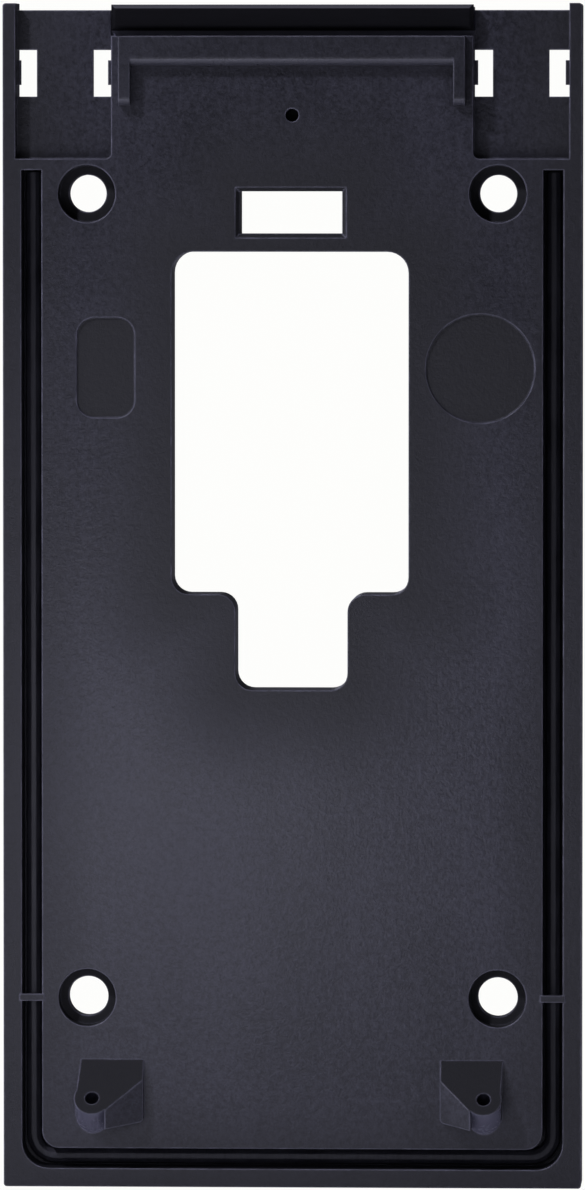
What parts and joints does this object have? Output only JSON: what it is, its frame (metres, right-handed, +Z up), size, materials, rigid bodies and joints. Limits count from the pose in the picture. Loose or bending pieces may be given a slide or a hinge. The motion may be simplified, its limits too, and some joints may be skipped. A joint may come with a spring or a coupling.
{
  "type": "door station mounting plate",
  "caption": "Moulded wall plate for a video door station, with hanging rail, corner sockets, cable opening, screw bosses and rubber seals.",
  "frame": {"origin": "centre of the rectangle of wall fixing holes, on the plane of the wall", "axes": "+X to the right seen from the front, -Y out of the wall towards the station, +Z up"},
  "size_m": [0.0844, 0.014, 0.173],
  "materials": {
    "moulded_plastic": "fine spark-eroded texture",
    "hanger_plastic": "fine spark-eroded texture",
    "strip_rubber": "dull black",
    "cord_rubber": "dull black"
  },
  "bodies": {
    "root": {"back_plate": "moulded_plastic", "hanger_rail": "hanger_plastic", "top_strip_seal": "strip_rubber", "groove_cord_seal": "cord_rubber"}
  },
  "joints": []
}
